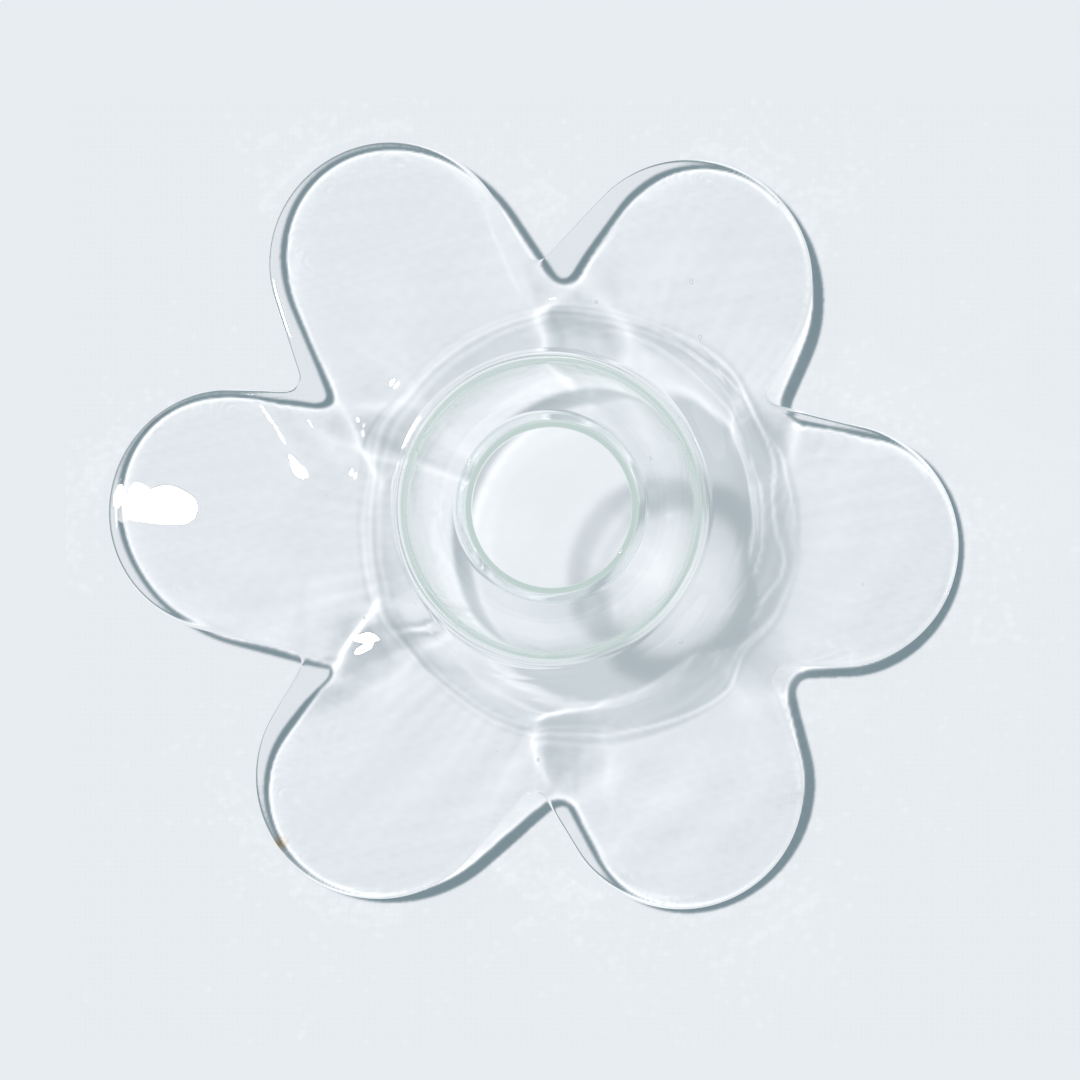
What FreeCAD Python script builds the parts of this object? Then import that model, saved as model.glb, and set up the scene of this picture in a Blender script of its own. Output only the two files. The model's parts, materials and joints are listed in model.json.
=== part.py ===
import FreeCAD, Part
import math
import os

# Flower frog in clear glass: six drooping petals around a domed shoulder, and a
# domed neck that holds the stems. Millimetres, +Z up, petals down on the table.
# The flower's middle is where the six creases between the petals meet. The neck was
# drawn out by hand a little to one side of it.

# glass
GLASS = 3.0                  # thickness of the blown sheet
WALL = 3.4                   # thickness of the neck

# petals, in plan: bearing of each tip from +X, and the reach of the tip from the middle
PETALS = (
    (-3.5, 100.5),
    (57.5, 97.5),
    (118.5, 99.5),
    (177.0, 100.5),
    (238.0, 98.5),
    (299.5, 99.5),
)
TIP_RADIUS = 28.8            # round end of a petal
ROOT_RADIUS = 36.0           # round root of a petal, wider than its end, at the middle
ROOT_SWIRL = 5.2             # how far each root stands to the left of the middle
CORNER_FILLET = 2.5          # rounding of the inner corner between two petals

# petals, from the side
CREST_HEIGHT = 12.0          # underside of a petal's crest above the table, at the shoulder
CREST_SLOPE = 10.0           # droop of the crest there, in degrees
CROWN_RADIUS = 85.0          # curvature across a petal

# shoulder and neck, about the neck's own axis
NECK_X = 4.0
NECK_Y = 4.2
SHOULDER_RADIUS = 50.0       # where the petals join the shoulder
SHOULDER_DEPTH = 7.0         # thick outer edge, deep enough for crests and creases
SHOULDER_RISE = 1.2          # how far that edge stands above the crests
SHOULDER_CLIMB = 5.8         # from that edge up to the foot of the neck
SHOULDER_CROWN = 2.0         # how far the shoulder bows up between the two
NECK_BASE_RADIUS = 35.5
HEIGHT = 50.0                # top of the lip
THROAT_RADIUS = 18.0         # bore that holds the stems
THROAT_LENGTH = 10.0         # straight part of that bore, up to the lip's top
LIP_HEIGHT = 3.5
LIP_ROLL = 1.5               # rounding of the lip's outer edge
NECK_BULGE = 0.60            # where the neck's curve passes between its foot and the
                             # throat, as a share of its width and height; over a half
                             # it bulges, under a half it is hollow
COLLAR_START = 3.0           # how far above the bore's end the collar outside starts

# heights that follow from these
SHOULDER_TOP = CREST_HEIGHT + GLASS + SHOULDER_RISE
NECK_BASE_HEIGHT = SHOULDER_TOP + SHOULDER_CLIMB
THROAT_START = HEIGHT - THROAT_LENGTH
LIP_START = HEIGHT - LIP_HEIGHT
CUT_MARGIN = 12.0            # how far cutting tools run past what they cut


def at(radius, bearing, z=0.0):
    angle = math.radians(bearing)
    return FreeCAD.Vector(radius * math.cos(angle), radius * math.sin(angle), z)


def arc(a, b, c):
    return Part.Arc(a, b, c).toShape()


def line(a, b):
    return Part.LineSegment(a, b).toShape()


def true_box(shape):
    """Tight bounding box: the quick one is loose on curved sheets."""
    return shape.optimalBoundingBox(False, False)


def turned(face):
    """A profile of radius and height, turned about the neck's upright axis."""
    solid = face.revolve(FreeCAD.Vector(0, 0, 0), FreeCAD.Vector(0, 0, 1), 360)
    return solid.translated(FreeCAD.Vector(NECK_X, NECK_Y, 0))


def blade(index):
    """Plan of one petal as drawn out of the gather: a round end and a wider round root,
    joined by straight sides. The roots swirl a little to one side of the middle."""
    bearing, reach = PETALS[index]
    tip = at(reach - TIP_RADIUS, bearing)
    root = at(ROOT_SWIRL, bearing + 90)
    axis = tip - root
    turn = math.degrees(math.acos((ROOT_RADIUS - TIP_RADIUS) / axis.Length))
    heading = math.degrees(math.atan2(axis.y, axis.x))
    left = at(1.0, heading + turn)
    right = at(1.0, heading - turn)
    ahead = at(1.0, heading)
    return Part.Face(Part.Wire([
        line(root + right * ROOT_RADIUS, tip + right * TIP_RADIUS),
        arc(tip + right * TIP_RADIUS, tip + ahead * TIP_RADIUS, tip + left * TIP_RADIUS),
        line(tip + left * TIP_RADIUS, root + left * ROOT_RADIUS),
        arc(root + left * ROOT_RADIUS, root - ahead * ROOT_RADIUS, root + right * ROOT_RADIUS),
    ]))


def flower_plan():
    """All six blades as one outline, still with sharp inner corners."""
    blades = [blade(index) for index in range(len(PETALS))]
    return blades[0].multiFuse(blades[1:]).removeSplitter().Faces[0]


def crease_bearings(plan):
    """Bearing of the inner corner between each petal and the next: the point of the
    outline nearest the middle, in the gap between their tips."""
    count = len(PETALS)
    bearings = []
    for index in range(count):
        start = PETALS[index][0]
        gap = (PETALS[(index + 1) % count][0] - start) % 360
        inside = []
        for vertex in plan.OuterWire.Vertexes:
            bearing = math.degrees(math.atan2(vertex.Y, vertex.X))
            if 0 < (bearing - start) % 360 < gap:
                inside.append((vertex.Point.Length, bearing))
        bearings.append(min(inside)[1])
    return bearings


def rounded_plan(plan):
    """The outline with its inner corners filled to the corner fillet: grown by that
    radius and shrunk back."""
    grown = plan.makeOffset2D(CORNER_FILLET)
    return Part.Face(grown.OuterWire).makeOffset2D(-CORNER_FILLET)


def sector(from_bearing, to_bearing):
    """Upright wedge between two creases, from the middle outwards."""
    out = 2 * max(reach for _, reach in PETALS)
    corners = [FreeCAD.Vector(0, 0, -CUT_MARGIN), at(out, from_bearing, -CUT_MARGIN),
               at(out, to_bearing, -CUT_MARGIN)]
    edges = [line(corners[k], corners[(k + 1) % 3]) for k in range(3)]
    return Part.Face(Part.Wire(edges)).extrude(FreeCAD.Vector(0, 0, HEIGHT + CUT_MARGIN))


def crest_radius(reach):
    """Radius of the underside's crest: it leaves the shoulder at its height and slope
    and comes down to the table at the petal's reach."""
    run = reach - SHOULDER_RADIUS
    slope = math.radians(CREST_SLOPE)
    spare = CREST_HEIGHT * math.cos(slope) - run * math.sin(slope)
    return (run ** 2 + CREST_HEIGHT ** 2) / (2 * spare)


def petal_sheet(reach):
    """A crowned, drooping sheet along +X: an arc across, swung about a level axis."""
    radius = crest_radius(reach)
    slope = math.radians(CREST_SLOPE)
    pivot_x = SHOULDER_RADIUS - radius * math.sin(slope)
    pivot_z = CREST_HEIGHT - radius * math.cos(slope)
    inner = CROWN_RADIUS - GLASS
    centre_z = pivot_z + radius - inner
    half = math.asin((ROOT_RADIUS + ROOT_SWIRL) / inner)

    def section(size, angle):
        return FreeCAD.Vector(pivot_x, size * math.sin(angle), centre_z + size * math.cos(angle))

    face = Part.Face(Part.Wire([
        arc(section(inner, -half), section(inner, 0), section(inner, half)),
        line(section(inner, half), section(CROWN_RADIUS, half)),
        arc(section(CROWN_RADIUS, half), section(CROWN_RADIUS, 0), section(CROWN_RADIUS, -half)),
        line(section(CROWN_RADIUS, -half), section(inner, -half)),
    ]))
    pivot = FreeCAD.Vector(pivot_x, 0, pivot_z)
    far = math.degrees(math.asin((reach + CUT_MARGIN - pivot_x) / radius))
    near = math.degrees(math.asin((CUT_MARGIN - pivot_x) / radius))
    face.rotate(pivot, FreeCAD.Vector(0, 1, 0), near)
    return face.revolve(pivot, FreeCAD.Vector(0, 1, 0), far - near)


def petal(index, plan, creases):
    bearing, reach = PETALS[index]
    sheet = petal_sheet(reach)
    sheet.rotate(FreeCAD.Vector(0, 0, 0), FreeCAD.Vector(0, 0, 1), bearing)
    below = FreeCAD.Vector(0, 0, -CUT_MARGIN)
    prism = plan.translated(below).extrude(FreeCAD.Vector(0, 0, HEIGHT + CUT_MARGIN))
    wedge = sector(creases[index - 1], creases[index])
    hub = Part.makeCylinder(SHOULDER_RADIUS, HEIGHT + 2 * CUT_MARGIN,
                            FreeCAD.Vector(NECK_X, NECK_Y, -CUT_MARGIN))
    return sheet.common(prism).common(wedge).cut(hub)


def profile_point(radius, height):
    return FreeCAD.Vector(radius, 0, height)


def bulge_point(foot_radius, top_radius, top_height):
    """Point that a side of the neck passes through on its way up from the foot."""
    radius = top_radius + NECK_BULGE * (foot_radius - top_radius)
    height = NECK_BASE_HEIGHT + NECK_BULGE * (top_height - NECK_BASE_HEIGHT)
    return profile_point(radius, height)


def shoulder():
    """Ring between the petals and the neck, thick at its outer edge."""
    bottom = SHOULDER_TOP - SHOULDER_DEPTH
    bore = NECK_BASE_RADIUS - WALL
    under = NECK_BASE_HEIGHT - WALL
    top_middle = profile_point((SHOULDER_RADIUS + NECK_BASE_RADIUS) / 2,
                               (NECK_BASE_HEIGHT + SHOULDER_TOP) / 2 + SHOULDER_CROWN)
    under_middle = profile_point((SHOULDER_RADIUS + bore) / 2,
                                 (under + bottom) / 2 + SHOULDER_CROWN)
    seat_in = profile_point(bore, NECK_BASE_HEIGHT)
    seat_out = profile_point(NECK_BASE_RADIUS, NECK_BASE_HEIGHT)
    edge_top = profile_point(SHOULDER_RADIUS, SHOULDER_TOP)
    edge_bottom = profile_point(SHOULDER_RADIUS, bottom)
    inner_bottom = profile_point(bore, under)
    return turned(Part.Face(Part.Wire([
        line(seat_in, seat_out),
        arc(seat_out, top_middle, edge_top),
        line(edge_top, edge_bottom),
        arc(edge_bottom, under_middle, inner_bottom),
        line(inner_bottom, seat_in),
    ])))


def neck():
    """Dome that rises from the shoulder and closes in to the throat and its collar."""
    outer = THROAT_RADIUS + WALL
    collar = THROAT_START + COLLAR_START
    foot_in = profile_point(NECK_BASE_RADIUS - WALL, NECK_BASE_HEIGHT)
    foot_out = profile_point(NECK_BASE_RADIUS, NECK_BASE_HEIGHT)
    throat_out = profile_point(outer, collar)
    throat_in = profile_point(THROAT_RADIUS, THROAT_START)
    top_out = profile_point(outer, LIP_START)
    top_in = profile_point(THROAT_RADIUS, LIP_START)
    return turned(Part.Face(Part.Wire([
        line(foot_in, foot_out),
        arc(foot_out, bulge_point(NECK_BASE_RADIUS, outer, collar), throat_out),
        line(throat_out, top_out),
        line(top_out, top_in),
        line(top_in, throat_in),
        arc(throat_in, bulge_point(NECK_BASE_RADIUS - WALL, THROAT_RADIUS, THROAT_START), foot_in),
    ])))


def lip():
    """Fire-polished rim: straight inside, rounded over outside."""
    outer = THROAT_RADIUS + WALL
    roll_centre = profile_point(outer - LIP_ROLL, HEIGHT - LIP_ROLL)
    diagonal = LIP_ROLL * math.sqrt(0.5)
    bottom_in = profile_point(THROAT_RADIUS, LIP_START)
    bottom_out = profile_point(outer, LIP_START)
    roll_start = profile_point(outer, HEIGHT - LIP_ROLL)
    roll_end = profile_point(outer - LIP_ROLL, HEIGHT)
    top_in = profile_point(THROAT_RADIUS, HEIGHT)
    return turned(Part.Face(Part.Wire([
        line(bottom_in, bottom_out),
        line(bottom_out, roll_start),
        arc(roll_start, roll_centre + profile_point(diagonal, diagonal), roll_end),
        line(roll_end, top_in),
        line(top_in, bottom_in),
    ])))


def build():
    sharp = flower_plan()
    creases = crease_bearings(sharp)
    plan = rounded_plan(sharp)
    parts = {}
    for index in range(len(PETALS)):
        parts["petal_%d" % (index + 1)] = petal(index, plan, creases)
    parts["shoulder"] = shoulder()
    parts["neck"] = neck()
    parts["lip"] = lip()
    return parts


def main():
    parts = build()
    box = true_box(Part.makeCompound(list(parts.values())))
    to_base = FreeCAD.Vector(-box.Center.x, -box.Center.y, -box.ZMin)
    os.makedirs("parts", exist_ok=True)
    for name, shape in parts.items():
        solid = shape.Solids[0]
        solid.translate(to_base)
        solid.exportStep("parts/%s.step" % name)
        inside = true_box(solid)
        print("%-9s %s valid %s, %d solid(s), %.1f mm3, z %.2f to %.2f" % (
            name, solid.ShapeType, solid.isValid(), len(solid.Solids), solid.Volume,
            inside.ZMin, inside.ZMax))
    print("box %.2f x %.2f x %.2f mm" % (box.XLength, box.YLength, box.ZLength))
    print("neck axis at x %.2f, y %.2f mm" % (NECK_X + to_base.x, NECK_Y + to_base.y))
    print("throat from z %.2f to %.2f mm" % (THROAT_START + to_base.z, HEIGHT + to_base.z))


main()
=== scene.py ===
import json
import math

import bmesh
import bpy
import numpy as np
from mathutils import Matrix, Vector
from mathutils.bvhtree import BVHTree


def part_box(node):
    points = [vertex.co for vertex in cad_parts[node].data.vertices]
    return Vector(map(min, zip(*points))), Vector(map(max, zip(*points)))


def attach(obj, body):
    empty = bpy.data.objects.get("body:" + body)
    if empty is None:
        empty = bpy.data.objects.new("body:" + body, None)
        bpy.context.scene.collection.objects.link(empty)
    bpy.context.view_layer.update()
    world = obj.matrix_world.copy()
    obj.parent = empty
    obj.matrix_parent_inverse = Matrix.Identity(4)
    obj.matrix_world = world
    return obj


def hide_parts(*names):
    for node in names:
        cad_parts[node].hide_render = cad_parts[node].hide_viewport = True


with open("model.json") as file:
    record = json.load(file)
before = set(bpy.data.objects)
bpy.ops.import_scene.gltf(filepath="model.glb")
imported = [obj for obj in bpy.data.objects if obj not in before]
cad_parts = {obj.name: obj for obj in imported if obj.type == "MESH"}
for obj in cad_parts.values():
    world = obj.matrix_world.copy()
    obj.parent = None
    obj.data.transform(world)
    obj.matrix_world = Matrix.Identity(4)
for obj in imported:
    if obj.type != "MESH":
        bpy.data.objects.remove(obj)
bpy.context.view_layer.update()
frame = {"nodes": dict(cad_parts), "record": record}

bl_info = {
    "name": "Glass flower frog",
    "version": (1, 0, 0),
    "blender": (4, 5, 0),
    "location": "3D View > Sidebar > Flower frog",
    "description": "Hot-formed glass flower frog: petals, shoulder, neck and lip, on a pale stage",
    "category": "Add Mesh",
}

MM = 0.001
PETALS = sorted(name for name in frame["nodes"] if name.startswith("petal_"))
LIP_LOW, LIP_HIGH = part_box("lip")
NECK_LOW, NECK_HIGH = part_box("neck")
SHOULDER_LOW, SHOULDER_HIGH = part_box("shoulder")
THROAT = next(m for m in frame["record"]["mounts"] if m["name"] == "throat")


# ------------------------------------------------------------------ sizes and colours

class FlowerSizes(bpy.types.PropertyGroup):
    """Sizes of the glass body. Defaults that the frame knows come from the frame."""
    sheet: bpy.props.FloatProperty(
        name="Sheet", description="Thickness of the glass in the petals",
        default=3.0 * MM, unit="LENGTH")
    thinning: bpy.props.FloatProperty(
        name="Thinning", description="How much thinner the sheet is at the petals' edges",
        default=0.5 * MM, unit="LENGTH")
    wall: bpy.props.FloatProperty(
        name="Neck wall", description="Thickness of the neck",
        default=(LIP_HIGH.x - LIP_LOW.x) / 2 - THROAT["dims"]["r_mm"] * MM, unit="LENGTH")
    bulge: bpy.props.FloatProperty(
        name="Bulge", description="Share of the neck's width and height where its curve passes; "
        "under a half it is hollow, over a half it bulges", default=0.60, subtype="FACTOR")
    crest: bpy.props.FloatProperty(
        name="Crest height", description="Underside of a petal's crest at the shoulder",
        default=11.0 * MM, unit="LENGTH")
    droop: bpy.props.FloatVectorProperty(
        name="Droop", description="Slope of each petal's crest at the shoulder, first to last",
        size=6, default=[math.radians(a) for a in (7, 6, 9, 7, 7, 6)])
    lift: bpy.props.FloatVectorProperty(
        name="Lift", description="How far each petal's tip stands off the table, first to last",
        size=6, default=(0.0, 0.3 * MM, 0.0, 1.2 * MM, 0.0, 0.4 * MM), unit="LENGTH")
    crown: bpy.props.FloatVectorProperty(
        name="Crown", description="Radius of curvature across each petal, first to last", size=6,
        default=(140 * MM, 150 * MM, 300 * MM, 180 * MM, 140 * MM, 150 * MM), unit="LENGTH")
    twist: bpy.props.FloatVectorProperty(
        name="Twist", description="Slope that each petal leans to its left, first to last", size=6,
        default=(-0.01, 0.015, 0.0, 0.145, 0.02, -0.015))
    crease: bpy.props.FloatProperty(
        name="Crease", description="Depth over which two petals run together at a crease",
        default=1.5 * MM, unit="LENGTH")
    pleat: bpy.props.FloatProperty(
        name="Pleat", description="Extra depth of the valley between two petals",
        default=2.5 * MM, unit="LENGTH")
    pleat_width: bpy.props.FloatProperty(
        name="Pleat width", description="Half width of that valley at the notch",
        default=4.6 * MM, unit="LENGTH")
    pleat_spread: bpy.props.FloatProperty(
        name="Pleat spread", description="How much wider the valley is at the neck",
        default=5.0 * MM, unit="LENGTH")
    streak: bpy.props.FloatProperty(
        name="Streak", description="Height of the fine drawn lines that run out along the petals",
        default=0.004 * MM, unit="LENGTH")
    groove: bpy.props.FloatProperty(
        name="Groove", description="Depth of the tooled line around the foot of the neck",
        default=0.30 * MM, unit="LENGTH")
    cord: bpy.props.FloatProperty(
        name="Cord", description="Height of the stretched threads of glass on the shoulder",
        default=0.10 * MM, unit="LENGTH")
    wave: bpy.props.FloatProperty(
        name="Wave", description="Unevenness of each side of the hand-formed sheet",
        default=0.022 * MM, unit="LENGTH")
    rim_corner: bpy.props.FloatProperty(
        name="Rim corner", description="Radius that the flame left on the petals' edges",
        default=0.75 * MM, unit="LENGTH")
    lip_corner: bpy.props.FloatProperty(
        name="Lip corner", description="Radius that the flame left on the lip's two edges",
        default=0.45 * MM, unit="LENGTH")
    spokes: bpy.props.IntProperty(
        name="Spokes", description="Columns of the mesh around the neck", default=480)


class GlassFinish(bpy.types.PropertyGroup):
    """Look of the glass."""
    tint: bpy.props.StringProperty(
        name="Tint", description="Colour that a thick piece of the glass takes, sRGB hex",
        default="#C9E7E1")
    density: bpy.props.FloatProperty(
        name="Tint strength", description="How fast the tint builds up, per metre", default=14.0)
    # Painted glow: a flat emission colour that the glass shows in place of the light that runs on
    # inside the wall.
    painted_wall_glow: bpy.props.StringProperty(
        name="Inner light", description="Light that runs on inside the wall, sRGB hex",
        default="#D3DDDB")
    stain: bpy.props.StringProperty(
        name="Stain", description="Colour of the dried water mark on the rim, sRGB hex",
        default="#D9A44A")
    stain_place: bpy.props.FloatVectorProperty(
        name="Stain place", description="Middle of the water mark", size=3,
        default=(-60.0 * MM, -75.0 * MM, 2.0 * MM), unit="LENGTH")
    stain_size: bpy.props.FloatProperty(
        name="Stain size", description="Reach of the water mark", default=2.2 * MM, unit="LENGTH")
    seeds: bpy.props.IntProperty(
        name="Seeds", description="Number of air bubbles in the glass", default=26)
    # Past this many surfaces the glass shows the painted glow instead of its own surface.
    turns_inside: bpy.props.IntProperty(
        name="Turns inside", description="Surfaces met before light counts as inner light",
        default=4)


class StageSizes(bpy.types.PropertyGroup):
    """Floor, lights and camera."""
    floor: bpy.props.StringProperty(
        name="Floor", description="Colour of the table, sRGB hex", default="#ECEEF1")
    key: bpy.props.FloatProperty(
        name="Key", description="Strength of the key light, watts per square metre", default=2.99)
    key_width: bpy.props.FloatProperty(
        name="Key width", description="Angle that the key light takes up in the sky",
        default=math.radians(6.2), subtype="ANGLE")
    key_tilt: bpy.props.FloatProperty(
        name="Key tilt", description="Angle of the key light from straight overhead",
        default=math.radians(36), subtype="ANGLE")
    key_bearing: bpy.props.FloatProperty(
        name="Key bearing", description="Bearing of the key light, from +X towards +Y",
        default=math.radians(150), subtype="ANGLE")
    key_colour: bpy.props.StringProperty(
        name="Key colour", description="Colour of the key light, sRGB hex", default="#FFF7F5")
    fill: bpy.props.FloatProperty(
        name="Fill", description="Brightness of the studio around the stage", default=0.33)
    fill_colour: bpy.props.StringProperty(
        name="Fill colour", description="Colour of the studio, sRGB hex", default="#C8E9F5")
    ray_pitch: bpy.props.FloatProperty(
        name="Ray pitch", description="Spacing of the light rays followed through the glass",
        default=0.6 * MM, unit="LENGTH")
    haze: bpy.props.FloatProperty(
        name="Haze", description="Share of the light that the glass scatters wide",
        default=0.07, subtype="FACTOR")
    neck_haze: bpy.props.FloatProperty(
        name="Neck haze", description="Further share scattered by the thick glass of the neck",
        default=0.62, subtype="FACTOR")
    frame_width: bpy.props.FloatProperty(
        name="Frame width", description="Width of the view at the table",
        default=255.6 * MM, unit="LENGTH")
    camera_place: bpy.props.FloatVectorProperty(
        name="Camera place", description="Where the camera stands, looking straight down",
        size=3, default=(1.4 * MM, -3.4 * MM, 0.95), unit="LENGTH")


# ------------------------------------------------------------------ small helpers

def linear(hex_colour):
    """sRGB hex to linear RGBA."""
    out = []
    for k in (1, 3, 5):
        c = int(hex_colour[k:k + 2], 16) / 255
        out.append(c / 12.92 if c <= 0.04045 else ((c + 0.055) / 1.055) ** 2.4)
    return (*out, 1.0)


def add_node(tree, kind, settings=None, inputs=None, links=None):
    """Adds a node, sets its attributes and sockets, and links its sockets."""
    node = tree.nodes.new(kind)
    for key, value in (settings or {}).items():
        setattr(node, key, value)
    for key, value in (inputs or {}).items():
        node.inputs[key].default_value = value
    for key, socket in (links or {}).items():
        tree.links.new(socket, node.inputs[key])
    return node


def smoothstep(x, low, high):
    """0 below low, 1 above high, and an even S between them."""
    t = np.clip((x - low) / (high - low), 0, 1)
    return t * t * (3 - 2 * t)


def ridge(offset, width):
    """A soft ridge of height 1 along the line where offset is 0."""
    return np.exp(-((offset / width) ** 2))


def new_material(name):
    """A material with an empty node tree."""
    material = bpy.data.materials.new(name)
    material.use_nodes = True
    material.node_tree.nodes.clear()
    return material


# ------------------------------------------------------------------ the plan, from the frame

LEVEL = 0.2        # a wall's normal rises less than this
OUTWARD = 0.15     # and points away from the middle by more than this


def wall_points(node):
    """Plan points of a petal's outer edge wall: level faces that look away from the middle."""
    mesh = frame["nodes"][node].data
    points = []
    for face in mesh.polygons:
        out = Vector((face.center.x, face.center.y, 0)).normalized()
        if abs(face.normal.z) < LEVEL and face.normal.dot(out) > OUTWARD:
            points += [mesh.vertices[k].co[:2] for k in face.vertices]
    return np.array(points)


def plan_outline():
    """The outer edge of the whole flower as a closed run of plan points, by bearing, each
    petal's tip and each notch between two petals (bearing, reach)."""
    walls = [wall_points(node) for node in PETALS]
    tips = []
    for wall in walls:
        k = np.hypot(wall[:, 0], wall[:, 1]).argmax()
        tips.append((math.atan2(wall[k, 1], wall[k, 0]), math.hypot(*wall[k])))
    points = np.unique(np.round(np.concatenate(walls), 7), axis=0)
    bearing = np.arctan2(points[:, 1], points[:, 0])
    order = bearing.argsort()
    points, bearing = points[order], bearing[order]
    reach = np.hypot(points[:, 0], points[:, 1])
    ends = sorted(tip[0] for tip in tips)
    notches = []
    for first, last in zip(ends, ends[1:] + [ends[0] + 2 * math.pi]):
        turn = (bearing - first) % (2 * math.pi)
        between = np.where((turn > 0) & (turn < last - first), reach, 1.0)
        notches.append((bearing[between.argmin()], between.min()))
    return points, tips, notches


def even_run(points, count, closeness):
    """Points along a closed run, closer together where it turns sharply: closeness is the
    radius of turn at which they stand twice as close."""
    closed = np.vstack([points, points[:1]])
    step = np.hypot(*np.diff(closed, axis=0).T)
    along = np.concatenate([[0], step.cumsum()])
    fine = np.linspace(0, along[-1], 6 * count, endpoint=False)
    dense = np.stack([np.interp(fine, along, closed[:, k]) for k in (0, 1)], 1)
    reach = 4
    kernel = np.hanning(2 * reach + 1)
    kernel /= kernel.sum()
    for _ in range(2):
        spread = np.vstack([dense[-reach:], dense, dense[:reach]])
        dense = np.stack([np.convolve(spread[:, k], kernel, "valid") for k in (0, 1)], 1)
    ahead = np.roll(dense, -1, 0) - dense
    heading = np.unwrap(np.arctan2(ahead[:, 1], ahead[:, 0]))
    turn = np.abs(np.gradient(heading)) / np.hypot(*ahead.T)
    reach = 20
    turn = np.concatenate([turn[-reach:], turn, turn[:reach]])
    turn = np.convolve(turn, np.hanning(2 * reach + 1) / reach, "valid")
    weight = (1 + closeness * turn) * np.hypot(*ahead.T)
    along = np.concatenate([[0], weight.cumsum()])
    loop = np.vstack([dense, dense[:1]])
    at = np.linspace(0, along[-1], count, endpoint=False)
    return np.stack([np.interp(at, along, loop[:, k]) for k in (0, 1)], 1)


# ------------------------------------------------------------------ the glass body

PLEAT_DEEPENS = 14 * MM    # from a notch, its valley reaches its full depth over this length
PLEAT_WIDENS = 26 * MM     # and its full width over this one
PLEAT_START = 0.08         # share of the depth that it has at the notch
PETAL_HALF = 30 * MM       # beside a petal's line its own zone ends here,
PETAL_SIDE = 12 * MM       # and from here on it rolls down with this radius
BELOW_ALL = -0.1           # a height that no surface reaches
THROAT_ROWS = 9
NECK_ROWS = 26
FOOT_ROWS = 16             # rows of the tight fold at the neck's foot
FOOT_STEP = 0.17 * MM
SHOULDER_ROWS = 52
PETAL_ROWS = 40
SHOULDER_MARGIN = 3 * MM   # the petals' own rows start this far outside the shoulder
FOOT_INSET = 0.35          # share of the wall by which its middle stands in at the foot
THIN_REACH = 34 * MM       # width of the band along the edge over which the sheet thins
SOFT_ROWS = 30, 40         # rows over which the fold at the foot is rounded
QUIET_ROWS = 6             # rows before the edge over which the unevenness dies away
CORNER_ROWS = 6


def arc_through(a, b, c, count):
    """Points on the circular arc from a through b to c."""
    (ax, ay), (bx, by), (cx, cy) = a, b, c
    aa, bb, cc = ax**2 + ay**2, bx**2 + by**2, cx**2 + cy**2
    d = 2 * (ax * (by - cy) + bx * (cy - ay) + cx * (ay - by))
    ux = (aa * (by - cy) + bb * (cy - ay) + cc * (ay - by)) / d
    uy = (aa * (cx - bx) + bb * (ax - cx) + cc * (bx - ax)) / d
    radius = math.hypot(ax - ux, ay - uy)
    first = math.atan2(ay - uy, ax - ux)
    last = math.atan2(cy - uy, cx - ux)
    sweep = (last - first + math.pi) % (2 * math.pi) - math.pi
    angle = first + sweep * np.linspace(0, 1, count)
    return np.stack([ux + radius * np.cos(angle), uy + radius * np.sin(angle)], 1)


def pleat_depth(x, y, notches, size):
    """Depth of the valleys that run from each notch in to the shoulder."""
    total = np.zeros_like(x)
    for bearing, reach in notches:
        along = x * math.cos(bearing) + y * math.sin(bearing)
        across = y * math.cos(bearing) - x * math.sin(bearing)
        depth = PLEAT_START + (1 - PLEAT_START) * smoothstep(reach - along, 0, PLEAT_DEEPENS)
        fade = smoothstep(along, size.foot - 0.5 * MM, size.foot + 8 * MM)
        width = size.pleat_width + size.pleat_spread * smoothstep(reach - along, 0, PLEAT_WIDENS)
        total += size.pleat * depth * fade * ridge(across, width)
    return total


def petal_height(x, y, tips, size):
    """Underside of the six petals over plan points: crowned, drooping sheets that run
    together smoothly at the creases. Each crest is an arc from the shoulder to the tip."""
    foot = size.shoulder
    base = 0.02
    total = np.zeros_like(x)
    shapes = zip(tips, size.droop, size.lift, size.crown, size.twist)
    for (bearing, reach), droop, lift, crown, twist in shapes:
        run = reach - foot
        fall = size.crest - lift
        radius = (run**2 + fall**2) / (2 * (fall * math.cos(droop) - run * math.sin(droop)))
        pivot = foot - radius * math.sin(droop)
        centre = size.crest - radius * math.cos(droop)
        along = x * math.cos(bearing) + y * math.sin(bearing)
        across = y * math.cos(bearing) - x * math.sin(bearing)
        crest = centre + np.sqrt(np.maximum(radius**2 - (along - pivot) ** 2, 0))
        drop = crown - np.sqrt(np.maximum(crown**2 - across**2, 1e-8))
        lean = twist * across * smoothstep(along, foot - 10 * MM, foot + 12 * MM)
        beside = np.maximum(np.abs(across) - PETAL_HALF, 0) ** 2 / (2 * PETAL_SIDE)
        height = np.where(along > 0, crest - drop + lean - beside, BELOW_ALL)
        total += np.exp((height - base) / size.crease)
    return base + size.crease * np.log(total)


class Body:
    """Plain numbers in metres that the body is worked out from."""

    def __init__(self, sizes):
        for key in ("sheet", "thinning", "wall", "bulge", "crest", "droop", "lift", "crown",
                    "twist", "crease", "pleat", "pleat_width", "pleat_spread", "streak",
                    "groove", "cord", "wave", "rim_corner", "lip_corner", "spokes"):
            setattr(self, key, getattr(sizes, key))
        self.x = (LIP_LOW.x + LIP_HIGH.x) / 2
        self.y = (LIP_LOW.y + LIP_HIGH.y) / 2
        self.top = LIP_HIGH.z
        self.throat = THROAT["dims"]["r_mm"] * MM + self.wall / 2
        self.throat_start = self.top - THROAT["dims"]["length_mm"] * MM + 1.5 * MM
        self.foot = (NECK_HIGH.x - NECK_LOW.x) / 2
        self.foot_z = NECK_LOW.z
        self.shoulder = (SHOULDER_HIGH.x - SHOULDER_LOW.x) / 2


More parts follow.
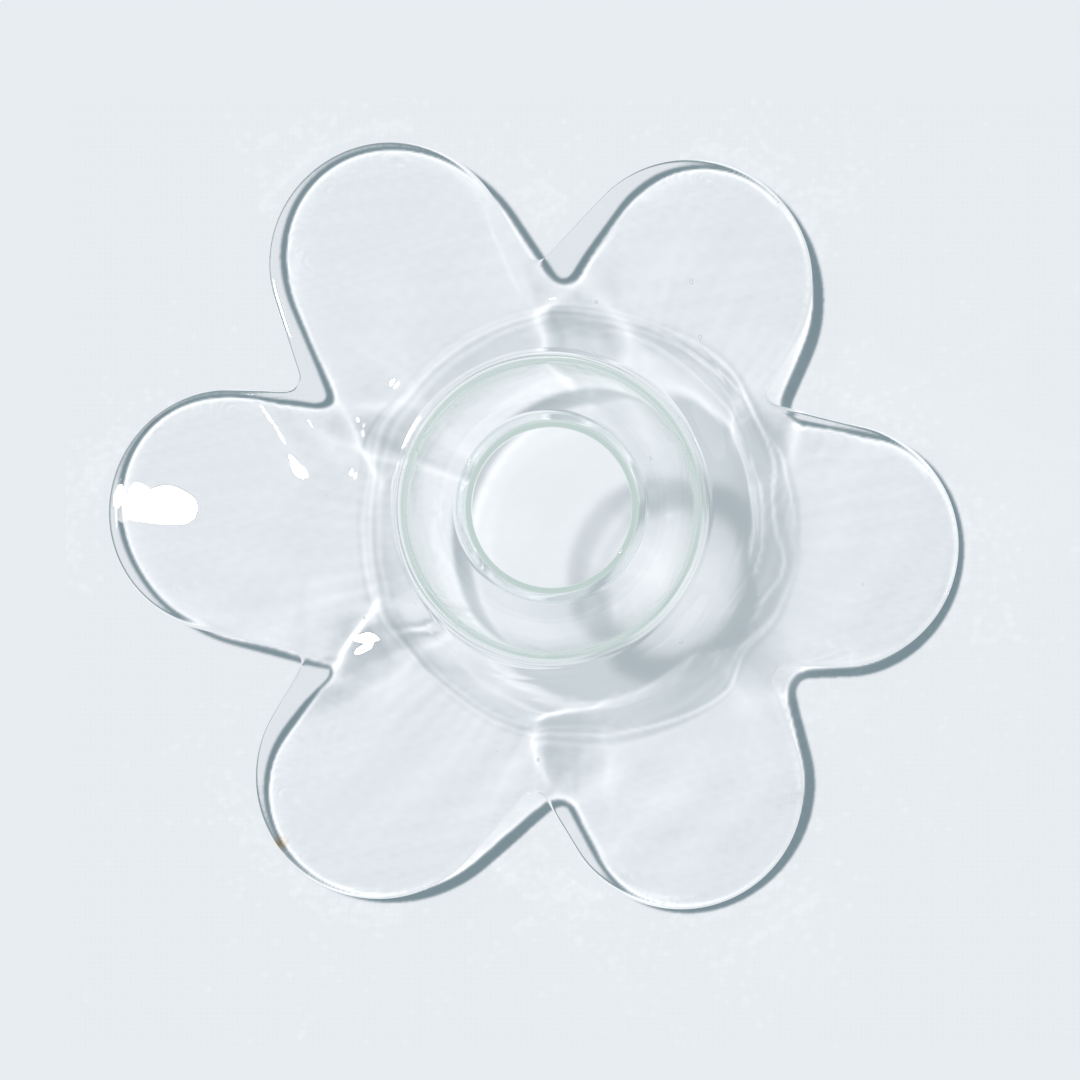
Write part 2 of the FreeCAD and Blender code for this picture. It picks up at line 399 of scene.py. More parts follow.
def neck_profile(body):
    """Radius and height of the middle of the wall, from the lip down to the foot."""
    straight = np.linspace(body.top - body.wall / 2, body.throat_start, THROAT_ROWS)
    throat = np.stack([np.full(THROAT_ROWS, body.throat), straight], 1)
    foot = (body.foot - FOOT_INSET * body.wall, body.foot_z - FOOT_INSET * body.wall)
    middle = (body.throat + body.bulge * (foot[0] - body.throat),
              foot[1] + body.bulge * (body.throat_start - foot[1]))
    dome = arc_through((body.throat, body.throat_start), middle, foot, NECK_ROWS)
    return np.vstack([throat[:-1], dome])


def body_middle(body):
    """The middle surface of the glass: a grid of columns around the neck and rows from
    the lip to the petals' edge. Returns points, thickness, the edge's normals in plan, each
    point's distance from the neck's axis and each column's direction."""
    outline, tips, notches = plan_outline()
    edge = even_run(outline, body.spokes, 8 * MM)
    ahead = np.roll(edge, -1, 0) - np.roll(edge, 1, 0)
    out = np.stack([ahead[:, 1], -ahead[:, 0]], 1) / np.hypot(*ahead.T)[:, None]
    end = edge - out * body.sheet / 2
    centre = np.array([body.x, body.y])
    span = end - centre
    reach = np.hypot(*span.T)
    direction = span / reach[:, None]

    neck = neck_profile(body)
    fold = neck[-1, 0] + FOOT_STEP * np.arange(1, FOOT_ROWS + 1)
    outer = np.linspace(fold[-1], body.shoulder + SHOULDER_MARGIN, SHOULDER_ROWS)
    ring = np.concatenate([fold, outer[1:]])
    closer_to_edge = 1.25
    share = 1 - (1 - np.linspace(0, 1, PETAL_ROWS)[1:]) ** closer_to_edge
    radius = np.empty((body.spokes, len(neck) + len(ring) + len(share)))
    radius[:, :len(neck)] = neck[:, 0]
    radius[:, len(neck):len(neck) + len(ring)] = ring
    radius[:, len(neck) + len(ring):] = ring[-1] + share * (reach[:, None] - ring[-1])
    x = centre[0] + direction[:, :1] * radius
    y = centre[1] + direction[:, 1:] * radius

    petals = petal_height(x, y, tips, body) + body.sheet / 2
    petals -= pleat_depth(x, y, notches, body)
    fall = body.foot_z - FOOT_INSET * body.wall
    rise = smoothstep(radius, body.foot, body.shoulder + 2 * MM)
    slope = (fall - (body.crest + 1.0 * MM)) / (body.shoulder - neck[-1, 0])
    cone = fall - slope * (radius - neck[-1, 0])
    height = cone * (1 - rise) + petals * rise
    height[:, :len(neck)] = neck[:, 1]

    thick = np.full_like(radius, body.sheet)
    thick += (body.wall - body.sheet) * (1 - smoothstep(radius, body.foot, body.shoulder))
    to_edge = reach[:, None] - radius
    thick -= body.thinning * (1 - smoothstep(to_edge, 0, THIN_REACH))
    return np.stack([x, y, height], 2), thick, out, radius, direction


def surface_normals(grid):
    """Normals of a grid that closes around its columns. They point up and out."""
    around = np.roll(grid, -1, 0) - np.roll(grid, 1, 0)
    down = np.gradient(grid, axis=1)
    normal = np.cross(down, around)
    return normal / np.linalg.norm(normal, axis=2, keepdims=True)


def smooth_rows(grid, first, last):
    """Rounds a fold in the rows between first and last."""
    soft = grid.copy()
    for _ in range(2):
        soft[:, first:last] = (soft[:, first - 1:last - 1] + 2 * soft[:, first:last]
                               + soft[:, first + 1:last + 1]) / 4
    return soft


def flat_end(centre, up, out, half, corner, count):
    """Rows over an end that is flat but for its two rounded corners, upper side first."""
    rows = []
    for side, first, last in ((1, 90, 0), (-1, 0, -90)):
        for angle in np.linspace(first, last, count):
            a = math.radians(angle)
            across = side * (half - corner) + corner * math.sin(a)
            rows.append(centre + up * across + out * (half - corner + corner * math.cos(a)))
    return np.stack(rows, 1)


def waves(x, y, shortest, longest, seed):
    """Gentle unevenness over the plan, of about one unit in height."""
    chance = np.random.RandomState(seed)
    total = 0.0
    count = 14
    for _ in range(count):
        length = chance.uniform(shortest, longest)
        heading = chance.uniform(0, 2 * math.pi)
        phase = chance.uniform(0, 2 * math.pi)
        way = x * math.cos(heading) + y * math.sin(heading)
        total += np.sin(2 * math.pi * way / length + phase)
    return total * math.sqrt(2 / count)


def tool_marks(radius, bearing, body):
    """Relief of the upper side that the tools left around the neck: the pressed line at its
    foot, the double line at the shoulder and the stretched threads between them."""
    wander = 0.35 * MM * np.sin(3 * bearing + 0.6) + 0.15 * MM * np.sin(7 * bearing + 2.0)
    marks = -body.groove * ridge(radius - body.foot - 0.2 * MM - 0.4 * wander, 0.42 * MM)
    for step, height in ((0.0, 0.12), (1.7 * MM, 0.09)):
        marks += body.cord * height * ridge(radius - body.shoulder + step - wander, 0.45 * MM)
    chance = np.random.RandomState(11)
    for _ in range(16):
        home = body.foot + chance.uniform(2.0, 15.5) * MM
        middle = math.radians(chance.uniform(-115, 60))
        reach = math.radians(chance.uniform(14, 42))
        swing = chance.uniform(0.3, 1.3) * MM
        turns = chance.uniform(4, 9)
        phase = chance.uniform(0, 6.3)
        width = chance.uniform(0.35, 0.8) * MM
        away = (bearing - middle + math.pi) % (2 * math.pi) - math.pi
        path = home + swing * np.sin(turns * away + phase) + 1.2 * MM * away
        marks += (body.cord * chance.uniform(-0.6, 1.0) * ridge(radius - path, width)
                  * ridge(away, reach))
    lines = 0.0
    for count in chance.randint(45, 118, 12):
        lines = lines + np.sin(count * bearing + chance.uniform(0, 6.3)) / 3
    reach = smoothstep(radius, 44 * MM, 52 * MM) * (1 - smoothstep(radius, 60 * MM, 82 * MM))
    marks += body.streak * lines * reach * (0.55 + 0.45 * np.sin(2 * bearing + 1.0))
    return marks


def closed_body(body):
    """Points of the whole skin: upper side, rim, underside and lip, as one closed grid."""
    middle, thick, edge_out, radius, direction = body_middle(body)
    middle = smooth_rows(middle, *SOFT_ROWS)
    normal = surface_normals(middle)
    half = thick[..., None] / 2
    x, y = middle[..., 0], middle[..., 1]
    bearing = np.arctan2(direction[:, 1], direction[:, 0])[:, None]
    rows = radius.shape[1]
    quiet = 1 - smoothstep(np.arange(rows), rows - QUIET_ROWS, rows - 1)
    top = tool_marks(radius, bearing, body) + body.wave * waves(x, y, 11 * MM, 34 * MM, 3)
    below = body.wave * waves(x, y, 12 * MM, 40 * MM, 8)
    upper = middle + normal * (half + (top * quiet)[..., None])
    under = middle - normal * (half + (below * quiet)[..., None])

    edge_up = normal[:, -1]
    level = np.concatenate([edge_out, np.zeros((len(edge_out), 1))], 1)
    level -= edge_up * (level * edge_up).sum(1, keepdims=True)
    level /= np.linalg.norm(level, axis=1, keepdims=True)
    rim = flat_end(middle[:, -1], edge_up, level, half[:, -1], body.rim_corner,
                   CORNER_ROWS)

    lip_up = np.concatenate([direction, np.zeros((len(direction), 1))], 1)
    lip_out = np.zeros_like(lip_up)
    lip_out[:, 2] = 1
    lip = flat_end(middle[:, 0], lip_up, lip_out, half[:, 0], body.lip_corner, CORNER_ROWS)
    return np.concatenate([upper, rim, under[:, ::-1], lip[:, ::-1]], 1)


def mesh_from_loop(name, grid):
    """A closed mesh from a grid that closes both ways."""
    columns, rows = grid.shape[:2]
    index = np.arange(columns * rows).reshape(columns, rows)
    right = np.roll(index, -1, 0)
    faces = np.stack([index, np.roll(index, -1, 1), np.roll(right, -1, 1), right], 2)
    return mesh_from_faces(name, grid, faces.reshape(-1, 4), True)


def mesh_from_faces(name, grid, faces, smooth):
    """A mesh from points and faces that all have the same number of corners."""
    mesh = bpy.data.meshes.new(name)
    mesh.vertices.add(grid.size // 3)
    mesh.vertices.foreach_set("co", grid.reshape(-1))
    mesh.loops.add(faces.size)
    mesh.loops.foreach_set("vertex_index", faces.reshape(-1))
    mesh.polygons.add(len(faces))
    mesh.polygons.foreach_set("loop_start", np.arange(0, faces.size, faces.shape[1]))
    mesh.update(calc_edges=True)
    mesh.validate()
    mesh.polygons.foreach_set("use_smooth", np.full(len(faces), smooth))
    return mesh


def soda_lime_glass(finish):
    """Soda-lime glass, blown and fire-polished: clear, wet-looking, green where it is thick. Where
    a ray has met more surfaces than turns_inside, the glass shows a painted glow: a flat emission
    colour stands in for the even, pale green light that glass shows at its edges after the light
    has gone to and fro inside the wall."""
    material = new_material("soda_lime_glass_fire_polished")
    tree = material.node_tree
    way = add_node(tree, "ShaderNodeLightPath")
    place = add_node(tree, "ShaderNodeTexCoord").outputs["Object"]
    away = add_node(tree, "ShaderNodeVectorMath", {"operation": "DISTANCE"}, {
        1: finish.stain_place}, {0: place})
    patchy = add_node(tree, "ShaderNodeTexNoise", inputs={
        "Scale": 1 / (2.2 * MM), "Detail": 3.0, "Roughness": 0.6}, links={"Vector": place})
    ragged = add_node(tree, "ShaderNodeMath", {"operation": "MULTIPLY_ADD"}, {
        1: 2 * finish.stain_size}, {0: patchy.outputs["Fac"], 2: away.outputs["Value"]})
    stained = add_node(tree, "ShaderNodeMapRange", {"interpolation_type": "SMOOTHSTEP"}, {
        "From Min": 1.15 * finish.stain_size, "From Max": 2.3 * finish.stain_size,
        "To Min": 1.0, "To Max": 0.0}, {"Value": ragged.outputs[0]})
    colour = add_node(tree, "ShaderNodeMix", {"data_type": "RGBA"}, {
        6: (1, 1, 1, 1), 7: linear(finish.stain)}, {0: stained.outputs["Result"]})
    # Painted glow: past turns_inside surfaces the glass gives a flat emission colour instead of
    # following the light further.
    late = add_node(tree, "ShaderNodeMath", {"operation": "GREATER_THAN"}, {
        1: finish.turns_inside - 0.5}, {0: way.outputs["Ray Depth"]})
    glow = add_node(tree, "ShaderNodeEmission", inputs={
        "Color": linear(finish.painted_wall_glow), "Strength": 1.0})
    surface = add_node(tree, "ShaderNodeBsdfPrincipled", inputs={
        "Roughness": 0.0, "IOR": GLASS_IOR, "Transmission Weight": 1.0}, links={
        "Base Color": colour.outputs[2]})
    volume = add_node(tree, "ShaderNodeVolumeAbsorption", inputs={
        "Color": linear(finish.tint), "Density": finish.density})
    either = add_node(tree, "ShaderNodeMixShader", links={
        0: late.outputs[0], 1: surface.outputs["BSDF"], 2: glow.outputs["Emission"]})
    add_node(tree, "ShaderNodeOutputMaterial", links={
        "Surface": either.outputs["Shader"], "Volume": volume.outputs["Volume"]})
    material.cycles.emission_sampling = "NONE"
    return material


SEED_ROWS = 14, 120        # rows of the body, from the neck to the petals' roots
SEED_SIZES = 0.16, 0.5     # radii in mm
SEED_IN_WALL = 0.3         # largest radius, as a share of the wall


def seed_mesh(middle, thick, seeds):
    """Air bubbles caught in the wall, drawn out a little by the pull of the glass."""
    chance = np.random.RandomState(5)
    bearing = np.arctan2(middle[:, -1, 1], middle[:, -1, 0])
    verts, faces = [], []
    ball = bmesh.new()
    bmesh.ops.create_icosphere(ball, subdivisions=3, radius=1.0)
    points = np.array([v.co[:] for v in ball.verts])
    corners = np.array([[v.index for v in f.verts] for f in ball.faces])
    ball.free()
    for _ in range(seeds):
        column = np.abs(bearing - chance.uniform(-math.pi, math.pi)).argmin()
        row = int(chance.uniform(*SEED_ROWS))
        size = min(chance.uniform(*SEED_SIZES) * MM, SEED_IN_WALL * thick[column, row])
        home = middle[column, row] + (0, 0, chance.uniform(-0.35, 0.35) * MM)
        stretch = np.array([1.0, chance.uniform(1.0, 1.5), 0.9]) * size
        faces.append(corners + len(points) * len(verts))
        verts.append(home + points * stretch)
    return mesh_from_faces("seeds", np.concatenate(verts), np.concatenate(faces), True)


def air_in_glass():
    """Air seen from inside the glass: each bubble is a tiny dark ring with a bright heart."""
    material = new_material("air_bubble_in_soda_lime_glass")
    tree = material.node_tree
    surface = add_node(tree, "ShaderNodeBsdfPrincipled", inputs={
        "Base Color": (1, 1, 1, 1), "Roughness": 0.0, "IOR": 1 / GLASS_IOR,
        "Transmission Weight": 1.0})
    add_node(tree, "ShaderNodeOutputMaterial", links={"Surface": surface.outputs["BSDF"]})
    return material


class FROG_OT_seeds(bpy.types.Operator):
    """Builds the seeds, the small air bubbles in the glass"""
    bl_idname = "frog.seeds"
    bl_label = "Seeds"

    def execute(self, context):
        body = Body(context.scene.frog_sizes)
        middle, thick = body_middle(body)[:2]
        mesh = seed_mesh(middle, thick, context.scene.frog_finish.seeds)
        piece = bpy.data.objects.new("seeds", mesh)
        context.scene.collection.objects.link(piece)
        mesh.materials.append(air_in_glass())
        piece.visible_shadow = False
        piece.visible_diffuse = False
        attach(piece, "root")
        return {"FINISHED"}


class FROG_OT_glass_body(bpy.types.Operator):
    """Builds the glass body: petals, shoulder, neck and lip as one hot-joined piece"""
    bl_idname = "frog.glass_body"
    bl_label = "Glass body"

    def execute(self, context):
        body = Body(context.scene.frog_sizes)
        grid = closed_body(body)
        piece = bpy.data.objects.new("glass_body", mesh_from_loop("glass_body", grid))
        context.scene.collection.objects.link(piece)
        piece.data.materials.append(soda_lime_glass(context.scene.frog_finish))
        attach(piece, "root")
        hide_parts(*PETALS, "shoulder", "neck", "lip")
        return {"FINISHED"}


# ------------------------------------------------------------------ light through the glass

GLASS_IOR = 1.52
# A sheet throws the light that it mirrors face on back and forth, so it is not lost.
FACE_ON_LOSS = ((GLASS_IOR - 1) / (GLASS_IOR + 1)) ** 2
LIGHT_CELL = 0.4 * MM      # spacing of the table's fine grid
LEAST_BLUR = 0.4 * LIGHT_CELL
MARGIN = 12 * MM           # how far that grid runs past the glass and its shadow
RAY_START = 60 * MM        # height that rays start from, above all of the glass
MOST_SURFACES = 12
SHALLOWEST = 0.05          # rays that fall less than this for their length are dropped
# Light blurs with the distance it falls, so it is kept in layers by that distance.
DROPS = 1 * MM, 4 * MM, 10 * MM, 22 * MM, 45 * MM
SHARED = 4                 # rays or points that each ray's step is split into, each way
WIDEST = 6                 # light that lands further apart than this many steps isn't joined
NECK_LIGHT = 0.6           # height of the neck's haze, as a share of the whole
NECK_HAZE_REACH = 34 * MM, 54 * MM
HAZE_WIDTH = 7 * MM        # how wide haze spreads light
THROWN_BACK = 0.07         # extra light that the glass and the table throw to and fro
RIPPLE = 0.022             # unevenness of the light below the glass
EXCESS_KEPT = 0.55         # share that is kept of the light above the open table's


class LightMap:
    """How much key light reaches each spot of the table, with the glass standing on it, as a share
    of what reaches the open table. Rays are followed from the key light down through the glass,
    and the light they carry is laid down where they land. This map is painted into the table's
    colour as light and shadow, in place of the glass's own shadow."""

    def __init__(self, piece, body, stage, finish):
        mesh = piece.data
        mesh.calc_loop_triangles()
        self.corners = np.empty(3 * len(mesh.loop_triangles), int)
        mesh.loop_triangles.foreach_get("vertices", self.corners)
        self.corners = self.corners.reshape(-1, 3)
        self.points = np.empty(3 * len(mesh.vertices))
        mesh.vertices.foreach_get("co", self.points)
        self.points = self.points.reshape(-1, 3)
        self.normals = np.empty(3 * len(mesh.vertices))
        mesh.vertices.foreach_get("normal", self.normals)
        self.normals = self.normals.reshape(-1, 3)
        self.tree = BVHTree.FromPolygons(self.points.tolist(), self.corners.tolist())
        self.sun = towards_key(stage)
        self.spread = math.tan(stage.key_width / 2)
        self.pitch = stage.ray_pitch
        self.haze = stage.haze
        self.neck_haze = stage.neck_haze
        slide = -np.array(self.sun[:2]) / self.sun[2]
        self.hole = np.array([body.x, body.y]) + slide * body.top
        self.hole_radius = body.throat
        self.neck = np.array([body.x, body.y]) + slide * NECK_LIGHT * body.top
        low = self.points.min(0) - MARGIN
        high = self.points.max(0) + MARGIN
        self.low = np.minimum(low[:2], low[:2] + slide * high[2])
        self.high = np.maximum(high[:2], high[:2] + slide * high[2])
        self.shape = np.ceil((self.high - self.low) / LIGHT_CELL).astype(int) + 1
        self.absorbed = (1 - np.array(linear(finish.tint)[:3])) * finish.density
        size = self.shape[0] * self.shape[1]
        self.layers = [[np.zeros(size), np.zeros(size)] for _ in DROPS]

    def follow(self, start):
        """Follows rays that head for plan points of the table. Returns where each lands,
        the light left, the way through glass, the last drop and a number for the way it
        took: whether it was bent or mirrored at each surface."""
        count = len(start)
        heading = np.tile(-np.array(self.sun), (count, 1))
        place = np.concatenate([start, np.zeros((count, 1))], 1)
        place -= heading * RAY_START / self.sun[2]
        left = np.ones(count)
        inside = np.zeros(count)
        surfaces = np.zeros(count, int)
        path = np.zeros(count, int)
        live = np.arange(count)
        for _ in range(MOST_SURFACES):
            hit, face = self.first_hits(place[live] + heading[live] * 1e-6, heading[live])
            struck = face >= 0
            live = live[struck]
            if not len(live):
                break
            hit, corner = hit[struck], self.corners[face[struck]]
            d = heading[live]
            flat, n = self.normals_at(hit, corner)
            entering = (d * flat).sum(1) < 0
            n = np.where(entering[:, None], n, -n)
            inside[live] += np.where(entering, 0, np.linalg.norm(hit - place[live], axis=1))
            ratio = np.where(entering, 1 / GLASS_IOR, GLASS_IOR)
            cosine = np.clip(-(d * n).sum(1), 1e-4, 1)
            under_root = 1 - ratio**2 * (1 - cosine**2)
            trapped = under_root < 0
            bent = np.sqrt(np.maximum(under_root, 0))
            through = ratio[:, None] * d + (ratio * cosine - bent)[:, None] * n
            mirrored = d + 2 * cosine[:, None] * n
            heading[live] = np.where(trapped[:, None], mirrored, through)
            s_part = (ratio * cosine - bent) / (ratio * cosine + bent)
            p_part = (ratio * bent - cosine) / (ratio * bent + cosine)
            lost = (s_part**2 + p_part**2) / 2
            left[live] *= np.where(trapped, 1, 1 - np.maximum(lost - FACE_ON_LOSS, 0))
            place[live] = hit
            surfaces[live] += 1
            path[live] = path[live] * 3 + np.where(trapped, 2, 1)
        ended = np.ones(count, bool)
        ended[live] = False
        good = ended & (heading[:, 2] < -SHALLOWEST)
        fall = np.maximum(-heading[:, 2], SHALLOWEST)
        in_hole = np.hypot(*(start - self.hole).T) < self.hole_radius
        free = np.where(in_hole, DROPS[-1], 0)
        drop = np.where(surfaces > 0, place[:, 2], free) / fall
        land = place + heading * (place[:, 2] / fall)[:, None]
        left[~good] = 0
        return land[:, :2], left, inside, drop, path

    def first_hits(self, start, heading):
        """Where each ray meets the glass first, and on which face. No face is -1."""
        hit = np.zeros((len(start), 3))
        face = np.full(len(start), -1)
        cast = self.tree.ray_cast
        for k, (a, b) in enumerate(zip(start.tolist(), heading.tolist())):
            place, _, index, _ = cast(a, b)
            if index is not None:
                hit[k] = place
                face[k] = index
        return hit, face

    def normals_at(self, hit, corner):
        """The faces' flat normals and the smooth ones at points on them."""
        a, b, c = (self.points[corner[:, k]] for k in range(3))
        flat = np.cross(b - a, c - a)
        area = (flat**2).sum(1)
        u = (np.cross(b - hit, c - hit) * flat).sum(1) / area
        v = (np.cross(c - hit, a - hit) * flat).sum(1) / area
        n = (self.normals[corner[:, 0]] * u[:, None] + self.normals[corner[:, 1]] * v[:, None]
             + self.normals[corner[:, 2]] * (1 - u - v)[:, None])
        return flat, n / np.linalg.norm(n, axis=1, keepdims=True)

    def lay_down(self, land, light, inside, drop):
        """Adds points of light to the layers next to their drop, shared between four cells."""
        spot = (land - self.low) / LIGHT_CELL
        cell = np.floor(spot).astype(int)
        part = spot - cell
        fits = ((cell >= 0) & (cell < self.shape - 1)).all(1) & (light > 0)
        cell, part, light, inside, drop = (v[fits] for v in (cell, part, light, inside, drop))
        level = np.interp(drop, DROPS, range(len(DROPS)))
        size = self.shape[0] * self.shape[1]
        for dx in (0, 1):
            for dy in (0, 1):
                share = np.abs(1 - dx - part[:, 0]) * np.abs(1 - dy - part[:, 1]) * light
                at = (cell[:, 0] + dx) * self.shape[1] + cell[:, 1] + dy
                for number, layer in enumerate(self.layers):
                    amount = share * np.clip(1 - np.abs(level - number), 0, 1)
                    layer[0] += np.bincount(at, amount, size)
                    layer[1] += np.bincount(at, amount * inside, size)

    def trace(self):
        """Follows a grid of rays. Between four rays that took the same way the light is
        spread evenly. Where ways differ, a finer grid of rays is followed."""
        across = [np.arange(a, b, self.pitch) for a, b in zip(self.low, self.high)]
        start = np.stack(np.meshgrid(*across, indexing="ij"), 2)
        shape = start.shape[:2]
        land, light, inside, drop, path = self.follow(start.reshape(-1, 2))
        values = np.column_stack([land, light, inside, drop]).reshape(*shape, 5)
        path = path.reshape(shape)
        corners = values[:-1, :-1], values[1:, :-1], values[:-1, 1:], values[1:, 1:]
        ways = path[:-1, :-1], path[1:, :-1], path[:-1, 1:], path[1:, 1:]
        same = (ways[0] == ways[1]) & (ways[0] == ways[2]) & (ways[0] == ways[3])
        reach = np.linalg.norm(corners[0][..., :2] - corners[3][..., :2], axis=2)
        same &= reach < WIDEST * self.pitch
        worth = (self.pitch / LIGHT_CELL) ** 2 / SHARED**2
        shares = (np.arange(SHARED) + 0.5) / SHARED
        for u in shares:
            for v in shares:
                mixed = (corners[0] * (1 - u) * (1 - v) + corners[1] * u * (1 - v)
                         + corners[2] * (1 - u) * v + corners[3] * u * v)[same]
                self.lay_down(mixed[:, :2], mixed[:, 2] * worth, mixed[:, 3], mixed[:, 4])
        rough = start[:-1, :-1][~same]
        steps = shares * self.pitch
        finer = np.concatenate([rough + (dx, dy) for dx in steps for dy in steps])
        land, light, inside, drop, _ = self.follow(finer)
        self.lay_down(land, light * worth, inside, drop)

    def soften(self, field, width):
        """Spreads a field of light evenly in all directions."""
        for axis in (0, 1):
            span = np.arange(field.shape[axis])
            kernel = np.exp(-((span[:, None] - span) * LIGHT_CELL / width) ** 2 / 2)
            kernel /= kernel.sum(1, keepdims=True)
            field = kernel @ field if axis == 0 else field @ kernel.T
        return field

    def colours(self):
        """The table's share of key light in red, green and blue, and its plan positions."""
        total = np.zeros((*self.shape, 3))
        for (light, through), drop in zip(self.layers, DROPS):
            light = light.reshape(self.shape)
            way = through.reshape(self.shape) / np.maximum(light, 1e-9)
            tinted = light[..., None] * np.exp(-way[..., None] * self.absorbed)
            width = max(self.spread * drop / 2, LEAST_BLUR)
            for k in range(3):
                total[..., k] += self.soften(tinted[..., k], width)
        across = [low + LIGHT_CELL * np.arange(n) for low, n in zip(self.low, self.shape)]
        crossed = sum(through for _, through in self.layers).reshape(self.shape)
        under = np.clip(self.soften(crossed, LIGHT_CELL) / (1 * MM), 0, 1)
        fine = waves(across[0][:, None], across[1][None], 1.6 * MM, 6 * MM, 21)
        total *= ((1 + RIPPLE * fine * under) * (1 + THROWN_BACK * under))[..., None]
        away = np.hypot(across[0][:, None] - self.neck[0], across[1][None] - self.neck[1])
        haze = self.haze + self.neck_haze * (1 - smoothstep(away, *NECK_HAZE_REACH))
        for k in range(3):
            spread = self.soften(total[..., k], HAZE_WIDTH)
            total[..., k] = (1 - haze) * total[..., k] + haze * spread
        total = np.minimum(total, 1 + EXCESS_KEPT * (total - 1).clip(0))
        middle = slice(4, -4)
        edge = np.ones(self.shape, bool)
        edge[middle, middle] = False
        total[edge] = 1
        return total, across


# ------------------------------------------------------------------ the stage

def towards_key(stage):
    """Direction from the table to the key light."""
    side = math.sin(stage.key_tilt)
    return Vector((math.cos(stage.key_bearing) * side, math.sin(stage.key_bearing) * side,
                   math.cos(stage.key_tilt)))


def table_with_painted_light(colour):
    """Table painted flat white, with painted light and shadow: its colour is multiplied by the key
    light's pattern through the glass, which lies on it as bright lines and grey bands in place of
    a real shadow and caustics. Outside that pattern it reads as a pale, even ground."""
    material = new_material("white_paint_with_painted_light")
    tree = material.node_tree
    light = add_node(tree, "ShaderNodeAttribute", {"attribute_name": "painted_light_through_glass"})
    # Painted light and shadow: the paint colour is multiplied by the light through the glass.
    paint = add_node(tree, "ShaderNodeMix", {"data_type": "RGBA", "blend_type": "MULTIPLY"}, {
        0: 1.0, 6: linear(colour)}, {7: light.outputs["Color"]})
    surface = add_node(tree, "ShaderNodeBsdfDiffuse", links={"Color": paint.outputs[2]})
    add_node(tree, "ShaderNodeOutputMaterial", links={"Surface": surface.outputs["BSDF"]})
    return material


TABLE_HALF = 3.0           # half the table's width, in metres


def table_mesh(light, across, key_share):
    """A table whose middle is a fine grid that carries the light through the glass as a colour:
    painted light and shadow.
    """
    xs = np.concatenate([[-TABLE_HALF], across[0], [TABLE_HALF]])
    ys = np.concatenate([[-TABLE_HALF], across[1], [TABLE_HALF]])
    shape = len(xs), len(ys)
    field = np.ones((*shape, 4))
    # Painted light and shadow: the key light's share of the table's colour follows the light
    # through the glass.
    field[1:-1, 1:-1, :3] = light * key_share + (1 - key_share)
    grid = np.zeros((*shape, 3))
    grid[..., 0] = xs[:, None]
    grid[..., 1] = ys
    index = np.arange(shape[0] * shape[1]).reshape(shape)
    faces = np.stack([index[:-1, :-1], index[1:, :-1], index[1:, 1:], index[:-1, 1:]], 2)
    mesh = mesh_from_faces("table", grid, faces.reshape(-1, 4), False)
    spots = mesh.attributes.new("painted_light_through_glass", "FLOAT_COLOR", "POINT")
    spots.data.foreach_set("color", field.reshape(-1))
    return mesh


class FROG_OT_table(bpy.types.Operator):
    """Builds the pale table, with the key light's pattern through the glass painted into its
    colour as light and shadow
    """
    bl_idname = "frog.table"
    bl_label = "Table"

    def execute(self, context):
        stage = context.scene.frog_stage
        glass = bpy.data.objects["glass_body"]
        body = Body(context.scene.frog_sizes)
        light = LightMap(glass, body, stage, context.scene.frog_finish)
        light.trace()
        pattern, across = light.colours()
        key_light = stage.key * math.cos(stage.key_tilt) / math.pi
        key_light = key_light * np.array(linear(stage.key_colour)[:3])
        fill_light = stage.fill * np.array(linear(stage.fill_colour)[:3])
        mesh = table_mesh(pattern, across, key_light / (key_light + fill_light))
        mesh.materials.append(table_with_painted_light(stage.floor))
        floor = bpy.data.objects.new("table", mesh)
        context.scene.collection.objects.link(floor)
        # The glass casts no shadow of its own; its shadow and bright lines are painted into the
        # table's colour.
        glass.visible_shadow = False
        glass.visible_diffuse = False
        return {"FINISHED"}


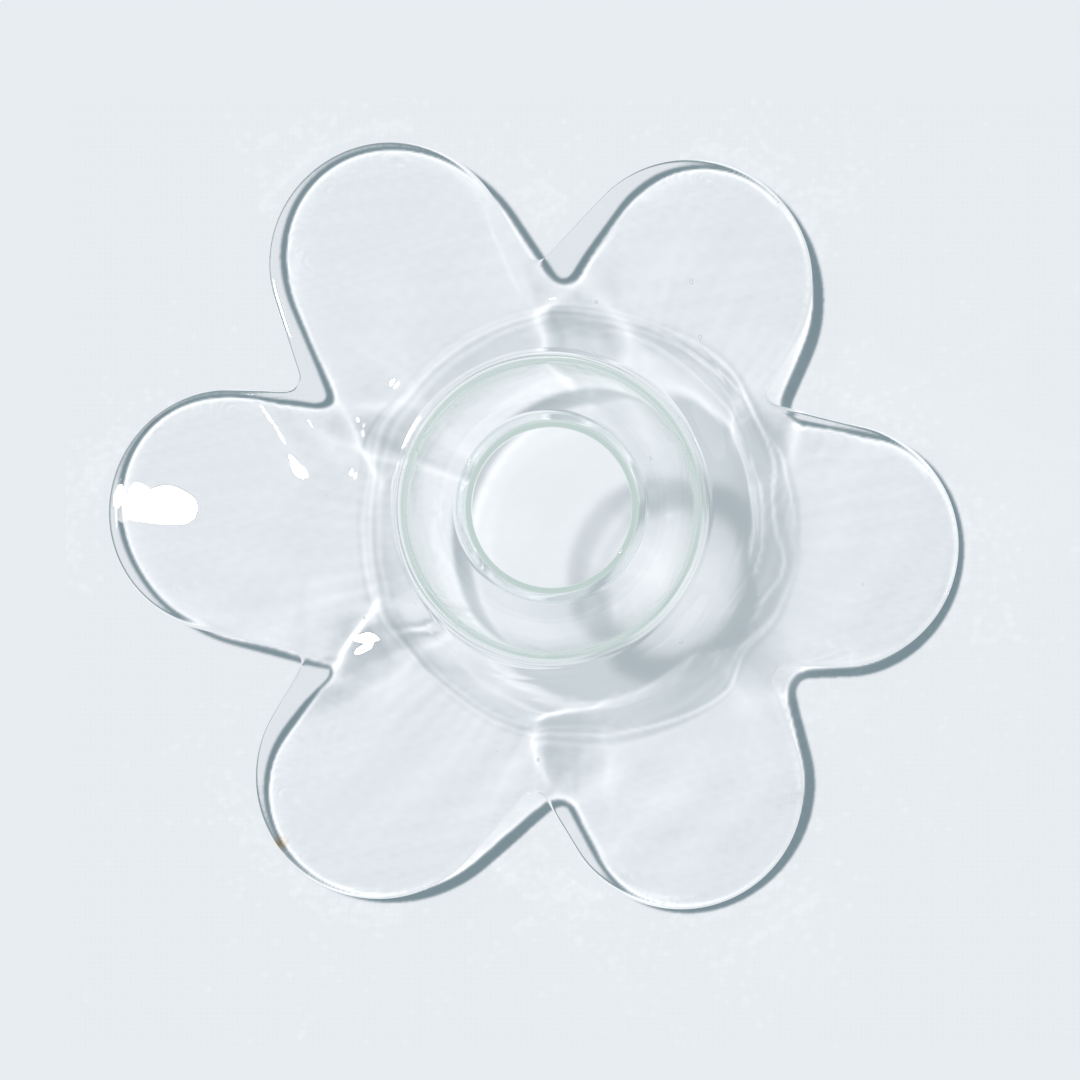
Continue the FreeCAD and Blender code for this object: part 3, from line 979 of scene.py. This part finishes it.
class FROG_OT_stage(bpy.types.Operator):
    """Builds the soft studio light and the camera above"""
    bl_idname = "frog.stage"
    bl_label = "Light and camera"

    def execute(self, context):
        stage = context.scene.frog_stage
        key = bpy.data.lights.new("key", "SUN")
        key.angle = stage.key_width
        key.energy = stage.key
        key.color = linear(stage.key_colour)[:3]
        lamp = bpy.data.objects.new("key", key)
        context.scene.collection.objects.link(lamp)
        lamp.location = towards_key(stage)
        lamp.rotation_euler = towards_key(stage).to_track_quat("Z", "Y").to_euler()

        world = bpy.data.worlds.new("studio")
        world.use_nodes = True
        back = world.node_tree.nodes["Background"]
        back.inputs["Color"].default_value = linear(stage.fill_colour)
        back.inputs["Strength"].default_value = stage.fill
        context.scene.world = world

        camera = bpy.data.cameras.new("camera")
        camera.lens = camera.sensor_width * stage.camera_place[2] / stage.frame_width
        eye = bpy.data.objects.new("camera", camera)
        context.scene.collection.objects.link(eye)
        eye.location = stage.camera_place
        context.scene.camera = eye
        context.scene.view_settings.view_transform = "Standard"
        return {"FINISHED"}


# ------------------------------------------------------------------ panel and registration

class FROG_PT_panel(bpy.types.Panel):
    """Lists the pieces in the order they are made"""
    bl_idname = "FROG_PT_panel"
    bl_label = "Glass flower frog"
    bl_space_type = "VIEW_3D"
    bl_region_type = "UI"
    bl_category = "Flower frog"

    def draw(self, context):
        for cls in OPERATORS:
            self.layout.operator(cls.bl_idname)
        for group in ("frog_sizes", "frog_finish", "frog_stage"):
            box = self.layout.box()
            settings = getattr(context.scene, group)
            for key in settings.bl_rna.properties.keys()[2:]:
                box.prop(settings, key)


OPERATORS = (FROG_OT_stage, FROG_OT_glass_body, FROG_OT_seeds, FROG_OT_table)
GROUPS = {"frog_sizes": FlowerSizes, "frog_finish": GlassFinish, "frog_stage": StageSizes}


def register():
    for cls in (*GROUPS.values(), *OPERATORS, FROG_PT_panel):
        bpy.utils.register_class(cls)
    for name, group in GROUPS.items():
        setattr(bpy.types.Scene, name, bpy.props.PointerProperty(type=group))


def unregister():
    for name in GROUPS:
        delattr(bpy.types.Scene, name)
    for cls in reversed((*GROUPS.values(), *OPERATORS, FROG_PT_panel)):
        bpy.utils.unregister_class(cls)


def main():
    register()
    bpy.ops.frog.stage()
    bpy.ops.frog.glass_body()
    bpy.ops.frog.seeds()
    bpy.ops.frog.table()


if __name__ == "__main__":
    main()
